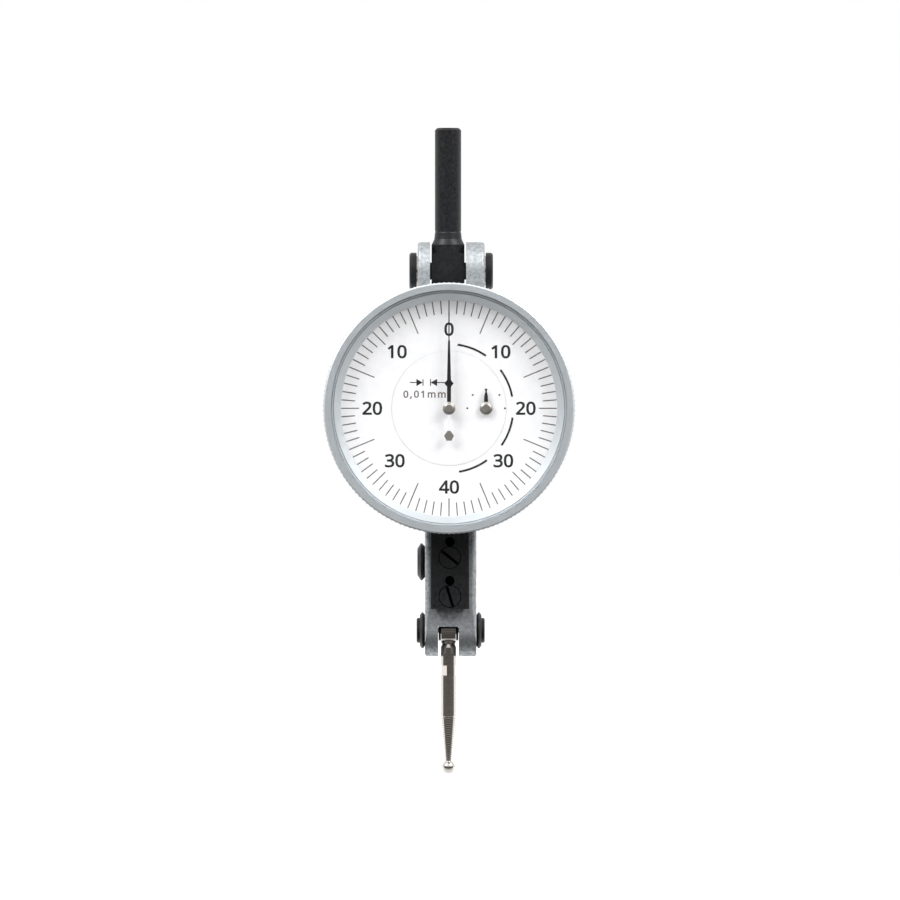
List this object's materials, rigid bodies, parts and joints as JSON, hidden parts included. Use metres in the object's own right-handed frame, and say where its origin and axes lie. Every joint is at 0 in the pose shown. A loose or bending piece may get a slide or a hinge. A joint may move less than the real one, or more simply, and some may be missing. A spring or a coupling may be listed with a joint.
{
  "type": "dial test indicator",
  "caption": "Lever-type dial test indicator with swivelling shank, turning serrated bezel, toothed gear train, turn-counter hand and swivelling ball contact point.",
  "frame": {"origin": "on the shank's axis, half way along the length that a holder clamps", "axes": "+Z along the shank away from the body, -Y the way the dial faces, +X to the right of a person reading the dial"},
  "size_m": [0.0381, 0.0189, 0.0982],
  "materials": {
    "cast_satin_chrome": "satin chromed casting",
    "satin_chrome": "satin chrome plate",
    "blackened_steel": "burnished black steel",
    "bright_steel": "turned and hardened steel",
    "ball_steel": "polished hard ball",
    "dial_white": "matt white dial paint",
    "crystal_clear": "clear moulded crystal",
    "gasket_grey": "soft gasket",
    "gear_brass": "machined brass",
    "jewel_red": "polished synthetic ruby",
    "hand_black": "black paint",
    "hub_silver": "turned nickel silver",
    "spring_alloy": "spring alloy strip"
  },
  "bodies": {
    "housing": {"housing": "cast_satin_chrome", "back_cover": "satin_chrome", "back_cover_screws": "bright_steel", "dovetail_plate": "blackened_steel", "dovetail_screws": "blackened_steel", "sector_cap": "blackened_steel", "sector_bushes": "gear_brass", "stem_washers": "bright_steel", "centre_dial": "dial_white", "movement_plate": "satin_chrome", "movement_plate_screws": "bright_steel", "dial_posts": "bright_steel", "hand_arbor_jewels": "jewel_red", "pointer_bridge": "gear_brass", "crown_jewels": "jewel_red", "hairspring": "spring_alloy", "hairspring_stud": "bright_steel", "nose_pivot_screw_left": "blackened_steel", "nose_pivot_screw_right": "blackened_steel", "stem_pivot_screw_left": "blackened_steel", "stem_pivot_screw_right": "blackened_steel", "bezel_retaining_wire": "bright_steel"},
    "stem": {"stem": "blackened_steel"},
    "bezel": {"bezel_ring": "satin_chrome", "crystal": "crystal_clear", "crystal_gasket": "gasket_grey", "dial_ring": "dial_white"},
    "pointer": {"pointer_arbor": "bright_steel", "pointer_pinion": "bright_steel", "counter_pinion": "bright_steel", "hairspring_collet": "gear_brass", "main_hand": "hand_black", "main_hand_hub": "hub_silver"},
    "counter": {"counter_wheel": "gear_brass", "counter_arbor": "bright_steel", "counter_hand": "hand_black", "counter_hand_hub": "hub_silver"},
    "crown": {"crown_wheel": "gear_brass", "crown_arbor": "bright_steel", "crown_pinion": "bright_steel"},
    "sector": {"sector_gear": "gear_brass", "sector_arbor": "bright_steel", "drive_pin": "bright_steel"},
    "lever": {"contact_lever": "bright_steel", "lever_axle": "bright_steel"},
    "contact_point": {"stylus_holder": "bright_steel", "contact_shank": "bright_steel", "contact_ball": "ball_steel"}
  },
  "joints": [
    {"name": "stem_swivel", "type": "hinge", "parent": "housing", "child": "stem", "pos_m": [0, 0, -0.01375], "axis": [1, 0, 0], "range_deg": [-90, 85]},
    {"name": "bezel_turn", "type": "hinge", "parent": "housing", "child": "bezel", "pos_m": [0.00015, -0.011, -0.03465], "axis": [0, 1, 0], "continuous": true},
    {"name": "pointer_turn", "type": "hinge", "parent": "housing", "child": "pointer", "pos_m": [0.00015, -0.011, -0.03465], "axis": [0, 1, 0], "range_deg": [-360, 360], "stiffness_Nm_per_rad": 0.000003},
    {"name": "counter_turn", "type": "hinge", "parent": "housing", "child": "counter", "pos_m": [0.00575, -0.011, -0.03465], "axis": [0, 1, 0], "range_deg": [-92, 92]},
    {"name": "crown_turn", "type": "hinge", "parent": "housing", "child": "crown", "pos_m": [0.00015, -0.0009, -0.03465], "axis": [1, 0, 0], "range_deg": [-73, 73]},
    {"name": "sector_rock", "type": "hinge", "parent": "housing", "child": "sector", "pos_m": [0.00015, -0.0009, -0.05795], "axis": [1, 0, 0], "range_deg": [-4.05, 4.05]},
    {"name": "measuring_rock", "type": "hinge", "parent": "housing", "child": "lever", "pos_m": [0.00015, -0.0009, -0.06835], "axis": [1, 0, 0], "range_deg": [-2.25, 2.25]},
    {"name": "contact_swivel", "type": "hinge", "parent": "lever", "child": "contact_point", "pos_m": [0.00015, -0.0009, -0.06835], "axis": [1, 0, 0], "range_deg": [-75, 75]}
  ],
  "couplings": [
    {"joint": "counter_turn", "follows": "pointer_turn", "ratio": -0.25},
    {"joint": "crown_turn", "follows": "pointer_turn", "ratio": 0.2},
    {"joint": "sector_rock", "follows": "pointer_turn", "ratio": -0.011009},
    {"joint": "measuring_rock", "follows": "pointer_turn", "ratio": 0.0061162}
  ]
}
